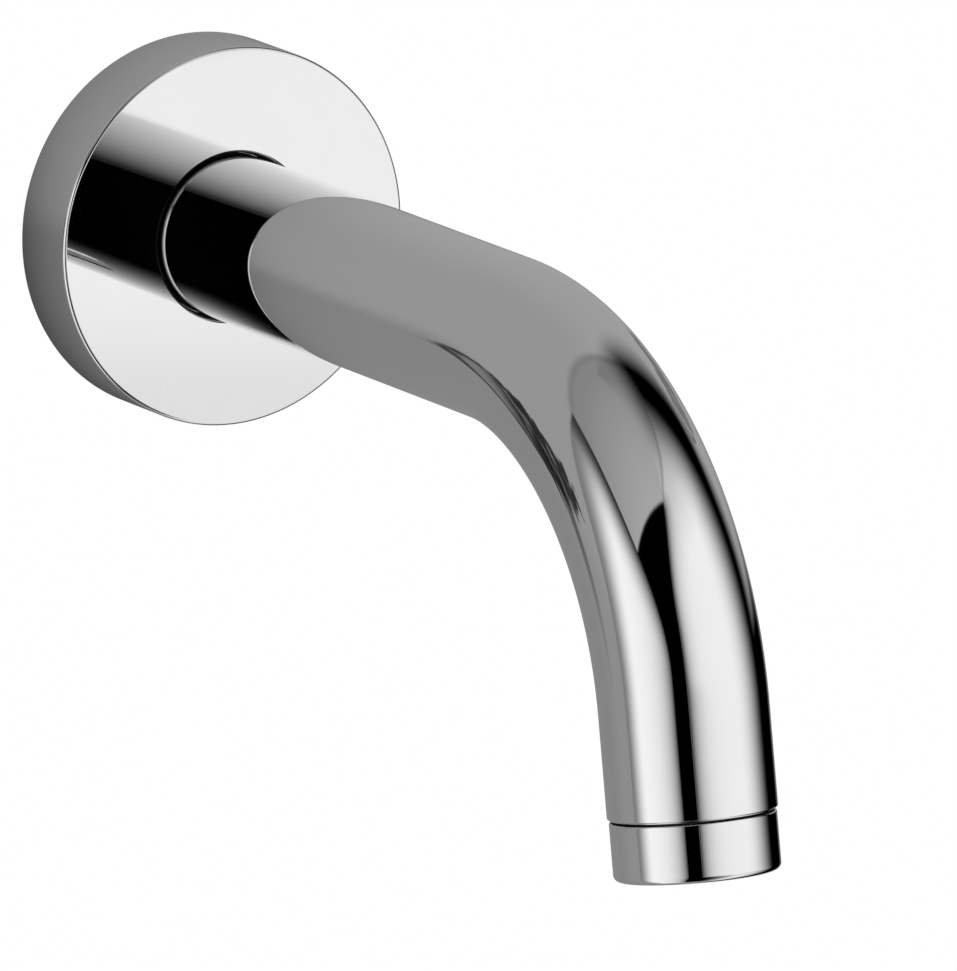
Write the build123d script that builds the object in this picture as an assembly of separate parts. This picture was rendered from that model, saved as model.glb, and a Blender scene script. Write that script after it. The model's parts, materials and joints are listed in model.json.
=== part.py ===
from build123d import *
import os
from math import ceil, sqrt

# Wall-mounted basin spout, in millimetres.
# The origin is where the spout's axis meets the finished wall. +Z is up and the spout reaches out along -Y.

# Bent tube
tube_diameter = 28.0
tube_wall = 2.5
straight_reach = 106.5
bend_radius = 60.0
bend_angle = 81.0
plain_run = 2.0
tube_end_chamfer = 0.3

# Round wall plate
escutcheon_diameter = 65.0
escutcheon_depth = 15.0
escutcheon_front_wall = 2.5
escutcheon_rim_wall = 3.0
escutcheon_edge_round = 0.6
escutcheon_back_round = 0.4
escutcheon_hole_clearance = 0.45
escutcheon_hole_chamfer = 0.4
escutcheon_ring_section = 2.0
hub_wall = 2.0
hub_land = 1.4
hub_fillet = 1.0
seal_width = 1.5
seal_depth = 1.8

# Threaded wall nipple, G1/2 into the wall
inlet_thread_diameter = 20.955
inlet_thread_length = 13.0
inlet_thread_chamfer = 1.0
inlet_relief_depth = 1.3
inlet_relief_width = 0.6
inlet_washer_thickness = 2.0
inlet_washer_play = 0.15
inlet_washer_width = 2.9
flange_front = 1.0
flange_thickness = 3.0
stub_length = 26.0
stub_clearance = 0.05
stub_chamfer = 0.8
stub_land = 3.0
stub_ring_section = 2.0
nipple_bore = 11.0
nipple_key_flats = 12.0
nipple_key_depth = 12.0

# Grub screw that locks the tube on the nipple, from below
screw_diameter = 4.0
screw_distance = 5.5
screw_recess = 0.3
screw_tip_diameter = 1.0
screw_key_flats = 2.0
screw_key_depth = 1.6
screw_hole_clearance = 0.05
screw_tip_gap = 0.1
screw_groove_depth = 1.9

# Aerator seat and housing, M24 x 1 into the tube
outlet_thread_height = 0.5
seat_ring_length = 3.0
seat_ring_wall = 3.0
housing_clearance = 0.08
housing_sleeve = 8.0
housing_wall = 1.5
collar_step = 0.25
collar_length = 9.7
collar_edge_round = 1.1
collar_top_round = 0.3
collar_mouth_chamfer = 0.5
joint_gap = 0.4
aerator_washer_thickness = 2.5
aerator_washer_width = 2.9

# Aerator cartridge
cage_flange = 1.5
cage_band_wall = 1.0
cage_air_gap = 0.7
cage_wall = 1.2
cage_recess = 1.0
cage_lip = 0.6
cage_lip_width = 0.5
cage_edge_round = 0.3
cage_window_count = 8
cage_window_width = 4.0
cage_window_height = 3.0
cage_window_land = 1.8
cage_fit = 0.08
jet_plate_thickness = 1.5
jet_hole_diameter = 1.1
jet_hole_count = 18
jet_circle_diameter = 13.0
regulator_thickness = 2.5
regulator_floor = 0.7
regulator_rim = 2.0
regulator_core_diameter = 7.0
regulator_ring_section = 1.5
regulator_port_count = 8
regulator_port_diameter = 1.4
regulator_notch_diameter = 1.2
strainer_sheet = 0.5
strainer_height = 1.7
strainer_rim = 1.5
strainer_hole = 1.2
strainer_bar = 0.7
screen_thickness = 0.5
screen_hole = 1.4
screen_wire = 0.6
screen_turn = 45.0
honeycomb_height = 3.2
honeycomb_flats = 1.75
honeycomb_web = 0.4
honeycomb_rim = 0.5

# Running clearance of a seated ring, and of brazed or snapped-in pieces
ring_clearance = 0.03
groove_side_play = 0.3

# Derived radii and heights
tube_radius = tube_diameter / 2
tube_bore = tube_radius - tube_wall
stub_radius = tube_bore - stub_clearance
inlet_washer_bore = inlet_thread_diameter / 2 + inlet_washer_play
flange_radius = inlet_washer_bore + inlet_washer_width
outlet_thread_radius = tube_bore + outlet_thread_height
outlet_thread_depth = housing_sleeve + cage_flange + aerator_washer_thickness
outlet_straight = plain_run + seat_ring_length + outlet_thread_depth
housing_radius = outlet_thread_radius - housing_clearance
housing_bore = housing_radius - housing_wall
collar_bottom = joint_gap + collar_length
cage_top = -housing_sleeve - cage_flange
cage_bottom = collar_bottom - cage_recess
cage_ledge = cage_top + regulator_thickness + jet_plate_thickness
cage_band_radius = housing_bore - cage_fit
cage_radius = housing_bore - cage_air_gap
cage_bore = cage_radius - cage_wall
cage_well = cage_band_radius - cage_band_wall
honeycomb_bottom = cage_bottom - cage_lip
honeycomb_top = honeycomb_bottom - honeycomb_height

# The wall place has its Z axis out of the wall. The side place draws the spout's profile, out and up.
wall = Plane(origin=(0, 0, 0), x_dir=(1, 0, 0), z_dir=(0, -1, 0))
side = Plane(origin=(0, 0, 0), x_dir=(0, -1, 0), z_dir=(-1, 0, 0))
below = Plane(origin=(0, -screw_distance, 0), x_dir=(1, 0, 0), z_dir=(0, 0, -1))


def spout_path():
    """The tube's centre line: straight out of the wall, round the bend and down to the outlet."""
    straight = Line((flange_front, 0), (straight_reach, 0))
    bend = JernArc(straight @ 1, straight % 1, bend_radius, -bend_angle)
    drop = Line(bend @ 1, bend @ 1 + (bend % 1) * outlet_straight)
    return side * (Curve() + [straight, bend, drop])


path = spout_path()
outlet = Plane(origin=path @ 1, x_dir=(1, 0, 0), z_dir=path % 1)


def turned(corners, place):
    """A piece turned about the place's Z axis. A corner is (radius, height), or has a rounding as well."""
    points = [corner[:2] for corner in corners]
    rounds = [corner[2] if len(corner) > 2 else 0 for corner in corners]
    outline = FilletPolyline(*points, radius=rounds, close=True)
    return place.location * revolve(Plane.XZ * make_face(outline), Axis.Z)


def rod(radius, start, end, place):
    """A plain round bar along the place's Z axis."""
    return place.location * Pos(0, 0, (start + end) / 2) * Cylinder(radius, end - start)


def flat_ring(inner, outer, start, end, place):
    """A washer about the place's Z axis."""
    return turned([(inner, start), (outer, start), (outer, end), (inner, end)], place)


def seated_ring(inner, outer, height, place):
    """A round-section ring that fills the space between two radii, less its clearance."""
    section = (outer - inner) / 2 - ring_clearance
    return place.location * Pos(0, 0, height) * Torus((inner + outer) / 2, section)


def hexagonal_key(flats, start, end, place):
    """The hexagonal space that a key goes into."""
    face = RegularPolygon(flats / 2, 6, major_radius=False)
    return place.location * Pos(0, 0, start) * extrude(face, end - start)


def circle_points(count, radius):
    """Points spaced evenly on a circle."""
    return [tuple(place.position)[:2] for place in PolarLocations(radius, count)]


def grid_points(pitch, reach, triangular):
    """Points of a square or a triangular grid that lie within reach of the middle."""
    row_pitch = pitch * sqrt(3) / 2 if triangular else pitch
    half = ceil(reach / row_pitch) + 1
    points = []
    for row in range(-half, half + 1):
        shift = pitch / 2 if triangular and row % 2 else 0
        points += [(column * pitch + shift, row * row_pitch) for column in range(-half, half + 1)]
    return [point for point in points if sqrt(point[0] ** 2 + point[1] ** 2) <= reach]


def perforation(cell, points, start, end, place):
    """Straight holes of one cell outline at each point."""
    holes = Sketch() + [Pos(*point) * cell for point in points]
    return place.location * Pos(0, 0, start) * extrude(holes, end - start)


def tube_length_of(radius):
    """A round bar that follows the whole centre line."""
    start = Plane(origin=path @ 0, z_dir=path % 0)
    return sweep(start * Circle(radius), path=path)


def spout_tube():
    outside = tube_length_of(tube_radius)
    end_edges = outside.faces().filter_by(GeomType.PLANE).edges()
    outside = chamfer(end_edges, tube_end_chamfer)
    outlet_thread = rod(outlet_thread_radius, -outlet_thread_depth, outlet_thread_depth, outlet)
    screw_hole = rod(screw_diameter / 2 + screw_hole_clearance, 0, tube_diameter, below)
    return outside - tube_length_of(tube_bore) - outlet_thread - screw_hole


def escutcheon_sizes():
    """Radii and heights of the wall plate's hole and its ring groove."""
    hole = tube_radius + escutcheon_hole_clearance
    groove = tube_radius + escutcheon_ring_section
    groove_front = escutcheon_depth - hub_land - escutcheon_hole_chamfer
    groove_back = groove_front - escutcheon_ring_section - 2 * groove_side_play
    return hole, groove, groove_front, groove_back


def wall_escutcheon():
    outer = escutcheon_diameter / 2
    inner = outer - escutcheon_rim_wall
    floor = escutcheon_depth - escutcheon_front_wall
    hole, groove, groove_front, groove_back = escutcheon_sizes()
    hub = groove + hub_wall
    hub_back = groove_back - hub_land
    return turned(
        [
            (inner + seal_width, 0),
            (outer, 0, escutcheon_back_round),
            (outer, escutcheon_depth, escutcheon_edge_round),
            (hole + escutcheon_hole_chamfer, escutcheon_depth),
            (hole, escutcheon_depth - escutcheon_hole_chamfer),
            (hole, groove_front),
            (groove, groove_front),
            (groove, groove_back),
            (hole, groove_back),
            (hole, hub_back),
            (hub, hub_back),
            (hub, floor, hub_fillet),
            (inner, floor, hub_fillet),
            (inner, seal_depth),
            (inner + seal_width, seal_depth),
        ],
        wall,
    )


def escutcheon_o_ring():
    hole, groove, groove_front, groove_back = escutcheon_sizes()
    return seated_ring(tube_radius, groove, (groove_front + groove_back) / 2, wall)


def wall_seal():
    inner = escutcheon_diameter / 2 - escutcheon_rim_wall
    return flat_ring(inner, inner + seal_width - ring_clearance, 0, seal_depth, wall)


def stub_grooves():
    """Back and front heights of the two ring grooves, counted back from the stub's free end."""
    width = stub_ring_section + 2 * groove_side_play
    front = flange_front + stub_length - stub_land
    fronts = [front, front - width - stub_land]
    return [(groove_front - width, groove_front) for groove_front in fronts]


def wall_nipple():
    groove = tube_bore - stub_ring_section
    thread = inlet_thread_diameter / 2
    flange_back = flange_front - flange_thickness
    thread_start = flange_back - inlet_washer_thickness - inlet_relief_width
    thread_end = thread_start - inlet_thread_length
    stub_end = flange_front + stub_length
    screw_floor = stub_radius - screw_groove_depth
    floor_half = screw_tip_diameter / 2 + screw_tip_gap * 2
    slope_half = floor_half + screw_groove_depth
    body = turned(
        [
            (nipple_bore / 2, thread_end),
            (thread - inlet_thread_chamfer, thread_end),
            (thread, thread_end + inlet_thread_chamfer),
            (thread, thread_start),
            (thread - inlet_relief_depth, thread_start),
            (thread - inlet_relief_depth, flange_back),
            (flange_radius, flange_back),
            (flange_radius, flange_front),
            (stub_radius, flange_front),
            (stub_radius, screw_distance - slope_half),
            (screw_floor, screw_distance - floor_half),
            (screw_floor, screw_distance + floor_half),
            (stub_radius, screw_distance + slope_half),
            (stub_radius, stub_end - stub_chamfer),
            (stub_radius - stub_chamfer, stub_end),
            (nipple_bore / 2, stub_end),
        ],
        wall,
    )
    for back, front in stub_grooves():
        body -= flat_ring(groove, tube_radius, back, front, wall)
    return body - hexagonal_key(nipple_key_flats, stub_end - nipple_key_depth, stub_end, wall)


def nipple_o_ring(index):
    back, front = stub_grooves()[index]
    return seated_ring(tube_bore - stub_ring_section, tube_bore, (back + front) / 2, wall)


def inlet_washer():
    back = flange_front - flange_thickness
    return flat_ring(inlet_washer_bore, flange_radius, back - inlet_washer_thickness, back, wall)


def fixing_screw():
    shank = screw_diameter / 2
    tip = stub_radius - screw_groove_depth + screw_tip_gap
    cone = shank - screw_tip_diameter / 2
    head = tube_radius - screw_recess
    body = turned(
        [
            (0, tip),
            (screw_tip_diameter / 2, tip),
            (shank, tip + cone),
            (shank, head),
            (0, head),
        ],
        below,
    )
    return body - hexagonal_key(screw_key_flats, head - screw_key_depth, head, below)


def outlet_seat_ring():
    outer = tube_bore - ring_clearance
    back = -outlet_thread_depth - seat_ring_length
    return flat_ring(outer - seat_ring_wall, outer, back, -outlet_thread_depth, outlet)


def aerator_housing():
    collar = tube_radius - collar_step
    return turned(
        [
            (housing_bore, -housing_sleeve),
            (housing_radius, -housing_sleeve, collar_top_round),
            (housing_radius, joint_gap),
            (collar, joint_gap, collar_top_round),
            (collar, collar_bottom, collar_edge_round),
            (housing_bore + collar_mouth_chamfer, collar_bottom),
            (housing_bore, collar_bottom - collar_mouth_chamfer),
        ],
        outlet,
    )


def aerator_washer():
    outer = housing_radius
    return flat_ring(outer - aerator_washer_width, outer, -outlet_thread_depth, cage_top, outlet)


def aerator_cage():
    window_start = cage_ledge + cage_window_land
    flange = housing_radius - cage_fit
    shell = turned(
        [
            (cage_well, cage_top),
            (flange, cage_top),
            (flange, -housing_sleeve),
            (cage_band_radius, -housing_sleeve),
            (cage_band_radius, cage_ledge + cage_band_wall),
            (cage_radius, cage_ledge + cage_band_wall),
            (cage_radius, cage_bottom, cage_edge_round),
            (cage_bore - cage_lip_width, cage_bottom),
            (cage_bore - cage_lip_width, honeycomb_bottom),
            (cage_bore, honeycomb_bottom),
            (cage_bore, cage_ledge),
            (cage_well, cage_ledge),
        ],
        outlet,
    )
    slot = Box(2 * cage_wall, cage_window_width, cage_window_height)
    middle = outlet.location * Pos(0, 0, window_start + cage_window_height / 2)
    places = PolarLocations(cage_radius - cage_wall / 2, cage_window_count)
    return shell - [middle * place * slot for place in places]


def jet_plate():
    plate = rod(cage_well - cage_fit, cage_top + regulator_thickness, cage_ledge, outlet)
    hole = Circle(jet_hole_diameter / 2)
    points = circle_points(jet_hole_count, jet_circle_diameter / 2)
    return plate - perforation(hole, points, cage_top + regulator_thickness, cage_ledge, outlet)


def regulator_channel():
    """Radii of the channel that the rubber ring of the flow regulator lies in."""
    return regulator_core_diameter / 2, cage_well - cage_fit - regulator_rim


def flow_regulator_body():
    outer = cage_well - cage_fit
    core, rim = regulator_channel()
    floor = cage_top + regulator_thickness - regulator_floor
    bottom = cage_top + regulator_thickness
    body = turned(
        [
            (0, cage_top),
            (core, cage_top),
            (core, floor),
            (rim, floor),
            (rim, cage_top),
            (outer, cage_top),
            (outer, bottom),
            (0, bottom),
        ],
        outlet,
    )
    ports = circle_points(regulator_port_count, (core + rim) / 2)
    notches = circle_points(regulator_port_count, core)
    body -= perforation(Circle(regulator_port_diameter / 2), ports, floor, bottom, outlet)
    return body - perforation(Circle(regulator_notch_diameter / 2), notches, cage_top, floor, outlet)


def flow_regulator_ring():
    core, rim = regulator_channel()
    floor = cage_top + regulator_thickness - regulator_floor
    section = regulator_ring_section / 2
    place = outlet.location * Pos(0, 0, floor - section - ring_clearance)
    return place * Torus((core + rim) / 2, section)


def aerator_strainer():
    rim = cage_well - cage_fit - strainer_sheet
    cup = rim - strainer_rim
    top = cage_top - strainer_height
    shell = turned(
        [
            (0, top),
            (cup, top, strainer_sheet),
            (cup, cage_top - strainer_sheet),
            (rim, cage_top - strainer_sheet),
            (rim, cage_top),
            (cup - strainer_sheet, cage_top),
            (cup - strainer_sheet, top + strainer_sheet),
            (0, top + strainer_sheet),
        ],
        outlet,
    )
    reach = cup - 2 * strainer_sheet - strainer_hole / sqrt(2)
    points = grid_points(strainer_hole + strainer_bar, reach, False)
    cell = Rectangle(strainer_hole, strainer_hole)
    return shell - perforation(cell, points, top, top + strainer_sheet, outlet)


def stream_screen(layer):
    """A stamped screen disc. The upper layer lies on the lower one, turned across it."""
    radius = cage_bore - cage_fit
    bottom = honeycomb_top - layer * screen_thickness
    top = bottom - screen_thickness
    points = grid_points(screen_hole + screen_wire, radius - screen_wire - screen_hole / sqrt(2), False)
    mesh = perforation(Rectangle(screen_hole, screen_hole), points, top, bottom, Plane.XY)
    disc = rod(radius, top, bottom, Plane.XY) - mesh
    return outlet.location * Rot(0, 0, screen_turn * layer) * disc


def honeycomb_outlet():
    radius = cage_bore - cage_fit
    cell = RegularPolygon(honeycomb_flats / 2, 6, major_radius=False, rotation=30)
    reach = radius - honeycomb_rim - honeycomb_flats / sqrt(3)
    points = grid_points(honeycomb_flats + honeycomb_web, reach, True)
    block = rod(radius, honeycomb_top, honeycomb_bottom, outlet)
    return block - perforation(cell, points, honeycomb_top, honeycomb_bottom, outlet)


pieces = {
    "spout_tube": spout_tube(),
    "wall_escutcheon": wall_escutcheon(),
    "escutcheon_o_ring": escutcheon_o_ring(),
    "wall_seal": wall_seal(),
    "wall_nipple": wall_nipple(),
    "nipple_o_ring_front": nipple_o_ring(0),
    "nipple_o_ring_back": nipple_o_ring(1),
    "inlet_washer": inlet_washer(),
    "fixing_screw": fixing_screw(),
    "outlet_seat_ring": outlet_seat_ring(),
    "aerator_housing": aerator_housing(),
    "aerator_washer": aerator_washer(),
    "aerator_cage": aerator_cage(),
    "aerator_strainer": aerator_strainer(),
    "flow_regulator_body": flow_regulator_body(),
    "flow_regulator_ring": flow_regulator_ring(),
    "jet_plate": jet_plate(),
    "stream_screen_lower": stream_screen(0),
    "stream_screen_upper": stream_screen(1),
    "honeycomb_outlet": honeycomb_outlet(),
}

os.makedirs("parts", exist_ok=True)
for name, piece in pieces.items():
    piece.label = name
    export_step(piece, f"parts/{name}.step")
    print(name, round(piece.volume, 1))
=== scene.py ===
# %% [markdown]
# # A wall-mounted basin spout in mirror chrome
#
# The real object is a bent brass tube, chromed and polished. It comes out of a thick round wall plate and
# ends in a screwed-in aerator. The imported CAD model gives every piece its place and its size. This lesson
# keeps that frame as it is and rebuilds the pieces that can be seen as smooth meshes, because a mirror
# shows every facet. The first cell loads the frame.

# %% Load the frame
import json
from cmath import phase
from math import cos, degrees, pi, radians, sin, sqrt, tan, tau

import bmesh
import bpy
from mathutils import Matrix, Vector


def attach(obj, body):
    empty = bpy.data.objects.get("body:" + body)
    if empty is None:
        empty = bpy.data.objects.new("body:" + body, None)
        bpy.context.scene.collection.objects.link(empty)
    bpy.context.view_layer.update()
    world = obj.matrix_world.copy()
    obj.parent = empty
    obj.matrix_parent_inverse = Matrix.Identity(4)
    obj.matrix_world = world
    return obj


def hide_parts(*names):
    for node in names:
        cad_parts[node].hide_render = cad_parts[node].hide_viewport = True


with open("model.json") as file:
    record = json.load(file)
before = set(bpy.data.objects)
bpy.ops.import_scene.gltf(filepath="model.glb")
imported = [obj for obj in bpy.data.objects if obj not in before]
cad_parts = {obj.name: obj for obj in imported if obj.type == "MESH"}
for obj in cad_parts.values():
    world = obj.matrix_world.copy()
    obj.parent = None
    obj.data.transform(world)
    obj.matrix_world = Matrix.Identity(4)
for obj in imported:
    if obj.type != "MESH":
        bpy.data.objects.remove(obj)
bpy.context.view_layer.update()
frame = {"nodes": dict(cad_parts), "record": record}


nodes = frame["nodes"]
scene = bpy.context.scene
mm = 0.001
micrometre = 1e-6

# %% [markdown]
# ## Writing node trees as sums
#
# Blender's node trees can be wired by hand, one node and one link at a time, but a formula then
# disappears among its wires. Here a small class wraps a socket, so that `1 - mask` or `grey * 0.5` adds
# the Math node by itself. Any other node comes from one method, which takes the node's type, its settings
# and what goes into its sockets. The same two classes serve the finishes, the studio and the Geometry
# Nodes trees.

# %% Sockets that can be added and multiplied
class Wire:
    """An output socket. Arithmetic on it adds Math nodes to its tree."""

    def __init__(self, board, socket):
        self.board = board
        self.socket = socket

    def __add__(self, other):
        return self.board.math("ADD", self, other)

    def __radd__(self, other):
        return self.board.math("ADD", other, self)

    def __sub__(self, other):
        return self.board.math("SUBTRACT", self, other)

    def __rsub__(self, other):
        return self.board.math("SUBTRACT", other, self)

    def __mul__(self, other):
        return self.board.math("MULTIPLY", self, other)

    def __rmul__(self, other):
        return self.board.math("MULTIPLY", other, self)

    def __truediv__(self, other):
        return self.board.math("DIVIDE", self, other)

    def __neg__(self):
        return self.board.math("MULTIPLY", self, -1.0)


class Board:
    """A node tree that is being wired."""

    def __init__(self, tree):
        self.tree = tree

    def node(self, kind, settings=None, sockets=None):
        """Adds any node: its settings first, then the values or the wires of its sockets."""
        made = self.tree.nodes.new(kind)
        for name, value in (settings or {}).items():
            setattr(made, name, value)
        for key, value in (sockets or {}).items():
            if isinstance(value, Wire):
                self.tree.links.new(value.socket, made.inputs[key])
            else:
                made.inputs[key].default_value = value
        return made

    def wire(self, kind, settings=None, sockets=None, output=0):
        """Adds any node and returns one of its outputs."""
        return Wire(self, self.node(kind, settings, sockets).outputs[output])

    def math(self, operation, *values):
        return self.wire("ShaderNodeMath", {"operation": operation}, dict(enumerate(values)))

    def fade(self, value, none, full):
        """Goes smoothly from 0, where the value is none, to 1, where it is full."""
        settings = {"interpolation_type": "SMOOTHSTEP"}
        return self.wire("ShaderNodeMapRange", settings, {0: value, 1: none, 2: full})

    def blend(self, before, after, share):
        """One number gives way to another, as the share goes from 0 to 1. It stops at 1."""
        return self.wire("ShaderNodeMix", None, {0: share, 2: before, 3: after})

    def parts(self, vector):
        """The X, Y and Z of a vector."""
        split = self.node("ShaderNodeSeparateXYZ", None, {0: vector})
        return [Wire(self, output) for output in split.outputs]

    def vector(self, x, y, z):
        return self.wire("ShaderNodeCombineXYZ", None, {0: x, 1: y, 2: z})


print("wiring classes:", Wire.__name__, Board.__name__)

# %% [markdown]
# ## The camera
#
# The photograph was taken from the left, a little above the spout, through a very long lens: lines that
# are parallel on the object stay almost parallel in the picture. The angles and the distance below were
# fitted to the outline of the tube and the wall plate. A long lens from far away gives the same flat
# perspective.

# %% Camera at the photograph's viewing angle
photo_height = 971
focal_pixels = 20000
view_turn = radians(-29.445)
view_rise = radians(13.035)
view_roll = radians(-0.417)
view_distance = 3321.7 * mm
view_middle = Vector((0, -81.5, -40)) * mm
framing_right = 8.21 * mm
framing_up = 9.872 * mm

back = Vector((sin(view_turn) * cos(view_rise), -cos(view_turn) * cos(view_rise), sin(view_rise)))
level_right = Vector((cos(view_turn), sin(view_turn), 0))
right = Matrix.Rotation(view_roll, 3, back) @ level_right
up = back.cross(right)
eye = view_middle + back * view_distance + right * framing_right + up * framing_up
camera_data = bpy.data.cameras.new("camera")
camera = bpy.data.objects.new("camera", camera_data)
scene.collection.objects.link(camera)
camera_data.sensor_width = 36
camera_data.lens = focal_pixels * camera_data.sensor_width / photo_height
camera.matrix_world = Matrix.Translation(eye) @ Matrix((right, up, back)).transposed().to_4x4()
scene.camera = camera
scene.view_settings.view_transform = "Standard"
print("camera at", [round(number, 4) for number in eye], "lens", round(camera_data.lens, 1), "mm")

# %% [markdown]
# ## The studio
#
# Chrome has no colour of its own, so the picture of a chromed spout is a picture of the room around it. A
# plain white world would make it vanish into the background. Photographers put a tent of cloth and cards
# around such an object: grey cloth overall, two large soft lights, and black flags that draw dark lines
# along the edges. The even world light and the pale floor come first. The floor lies a metre below, where
# it is under a real wall spout, and it is left out when it is seen from underneath, so that it never
# hides the object.

# %% Even light and a pale floor
floor_height = -1.0
floor_reach = 9.0
floor_white = 0.97
even_light = 1.03

world = bpy.data.worlds.new("studio")
scene.world = world
world.use_nodes = True
board = Board(world.node_tree)
board.tree.nodes.clear()
rays = board.node("ShaderNodeLightPath").outputs
background_seen = Wire(board, rays["Is Camera Ray"]) + Wire(board, rays["Is Glossy Ray"])
background_seen = background_seen + Wire(board, rays["Is Transmission Ray"])
soft = board.wire("ShaderNodeBackground", None, {"Color": (1, 1, 1, 1), "Strength": even_light})
white = board.wire("ShaderNodeBackground", None, {"Color": (1, 1, 1, 1), "Strength": 1.0})
mixed = board.wire("ShaderNodeMixShader", None, {0: background_seen, 1: soft, 2: white})
board.node("ShaderNodeOutputWorld", None, {"Surface": mixed})


def blank_material(name):
    """A material with an empty node tree, and the board to wire it on."""
    material = bpy.data.materials.new(name)
    material.use_nodes = True
    material.node_tree.nodes.clear()
    return material, Board(material.node_tree)


def add_object(name, mesh):
    """Puts a mesh into the scene as an object at the origin."""
    made = bpy.data.objects.new(name, mesh)
    scene.collection.objects.link(made)
    return made


def object_place(board):
    """The place of a point on its object, in metres."""
    return board.wire("ShaderNodeTexCoord", output="Object")


def noise(board, place, scale, detail=2.0):
    """A cloudy pattern from 0 to 1. The scale is in clouds per metre."""
    return board.wire("ShaderNodeTexNoise", None, {"Vector": place, "Scale": scale, "Detail": detail})


def see_through(board, shader, share):
    """Ends a studio material: a share of its surface is as clear as air."""
    clear = board.wire("ShaderNodeBsdfTransparent")
    sheet = board.wire("ShaderNodeMixShader", None, {0: share, 1: shader, 2: clear})
    board.node("ShaderNodeOutputMaterial", None, {"Surface": sheet})


paper, board = blank_material("floor_paper")
matt = board.wire("ShaderNodeBsdfDiffuse", None, {"Color": (floor_white, floor_white, floor_white, 1)})
see_through(board, matt, board.wire("ShaderNodeNewGeometry", output="Backfacing"))

floor_mesh = bpy.data.meshes.new("floor")
signs = [(-1, -1), (1, -1), (1, 1), (-1, 1)]
corners = [(x * floor_reach, y * floor_reach, floor_height) for x, y in signs]
floor_mesh.from_pydata(corners, [], [(0, 1, 2, 3)])
floor_mesh.materials.append(paper)
floor = add_object("floor", floor_mesh)
print("floor at", floor_height, "m, even light", even_light)

# %% [markdown]
# The tent is a ball around the spout that only reflections can see: it throws no shadow, lights nothing
# and hides nothing from the camera. Its cloth is lit by a formula on two angles. The turn goes round the
# object, 0 in front of the wall and 90 to the right, and the rise goes up from the horizon. Each light or
# flag is a few smooth edges in those angles, so the angles and some helpers for edges come first.

# %% Angles around the spout
tent_radius = 0.78
tent_middle = Vector((0, -91.5, -36)) * mm
crisp = 0.7

tent_cloth, board = blank_material("tent_cloth")
tent_place = object_place(board)
x, y, z = board.parts(tent_place)
turn = board.math("ARCTAN2", x, -y) * degrees(1)
rise = board.math("ARCSINE", z / tent_radius) * degrees(1)
behind = y / tent_radius
rightward = x / tent_radius


def squared(value):
    return value * value


def size_of(value):
    """A value without its sign."""
    return value.board.math("ABSOLUTE", value)


def above(value, level):
    """How far a value lies above a level, or 0 below it."""
    return value.board.math("MAXIMUM", value - level, 0.0)


def inside(distance):
    """1 inside a crisp edge and 0 outside it. The distance is in degrees from the edge."""
    return distance.board.fade(distance, -crisp, crisp)


def rising(distance, scale):
    """The light of a lamp: 0 at its edge, and soon 1 inside it."""
    return 1 - distance.board.math("EXPONENT", above(distance, 0.0) / -scale)


print("tent radius", tent_radius, "m, crisp edges", 2 * crisp, "degrees wide")

# %% [markdown]
# The cloth is grey. In front it gets paler forwards, and behind the spout it is nearly even. A hoop of
# the tent's frame goes over the spout where the two meet. Low down the cloth has one tone, a little
# darker at the back.

# %% Grey cloth
front_tone = 0.268
front_gain = 0.29
back_tone = 0.345
back_gain = 0.04
low_tone = 0.267
low_gain = 0.04
hoop_behind = 0.1
hoop_width = 0.04
hoop_depth = 0.14

front_cloth = above(-behind, 0.0) * front_gain + front_tone
back_cloth = board.fade(rightward, -0.2, 0.5) * back_gain + back_tone
upper_cloth = board.blend(back_cloth, front_cloth, board.fade(behind, 0.15, 0.09))
low_cloth = board.fade(size_of(turn), 150, 120) * low_gain + low_tone
hoop = board.fade(size_of(behind - hoop_behind), hoop_width, 0.0) * board.fade(rise, 15, 35)
light = board.blend(upper_cloth, low_cloth, board.fade(rise, 6, -6)) * (1 - hoop * hoop_depth)
print("cloth tones:", front_tone, "in front,", back_tone, "behind,", low_tone, "low down")

# %% [markdown]
# A black flag hangs in front. Its upper edge is a bow. On the right it ends at the large lamp, whose edge
# leans over higher up, and its hem goes on below that lamp.

# %% Flag in front
lamp_edge = -20.2
lamp_lean = 0.031
lean_from = 24.0
flag_middle = 4
flag_reach = 60
flag_peak = 52.6
flag_drop = 15.5
flag_droop = 5

lamp_side = turn - lamp_edge - squared(above(rise, lean_from)) * lamp_lean
below = board.fade(rise, -8, -13)
flag_bow = squared((turn - flag_middle) / flag_reach)
flag_top = flag_peak - flag_bow * flag_drop - squared(flag_bow) * flag_droop
flag_share = board.math("MAXIMUM", inside(-lamp_side), below * board.fade(turn, 70, 45))
light = light * (1 - inside(flag_top - rise) * flag_share)
print("front flag up to", flag_peak, "degrees, large lamp from", lamp_edge, "degrees")

# %% [markdown]
# The left lamp is a sheet with a crisp outline. Its light falls off towards its sides and its sloping
# upper edge.

# %% Left lamp
left_bright = 1.08
left_start = -107
left_end = -37
left_top = 45.5
left_top_turn = -97
left_top_slope = 0.24
start_lean = 0.004
end_lean = 0.045
edge_glow = 0.2
top_loss = 0.13

from_left = turn - left_start - squared(above(rise, 0.0)) * start_lean
from_right = left_end - squared(above(rise, 10.0)) * end_lean - turn
from_top = left_top - (turn - left_top_turn) * left_top_slope - rise
least_glow = edge_glow - board.fade(from_top, 14, 4) * top_loss
left_lamp = board.blend(least_glow, 1.0, board.fade(from_left, 0, 24) * board.fade(from_top, 0, 22))
left_lamp = left_lamp * rising(from_right, board.fade(rise, 40, 25) * 4 + 9)
left_share = inside(from_left) * inside(from_right) * inside(from_top)
light = board.blend(light, left_lamp * left_bright, left_share)
print("left lamp from", left_start, "to", left_end, "degrees")

# %% [markdown]
# A second flag hangs on the right. It is darkest at the side and thins out upwards.

# %% Flag on the right
side_end = 102
side_fading = 22
share_on_top = 0.2

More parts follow.
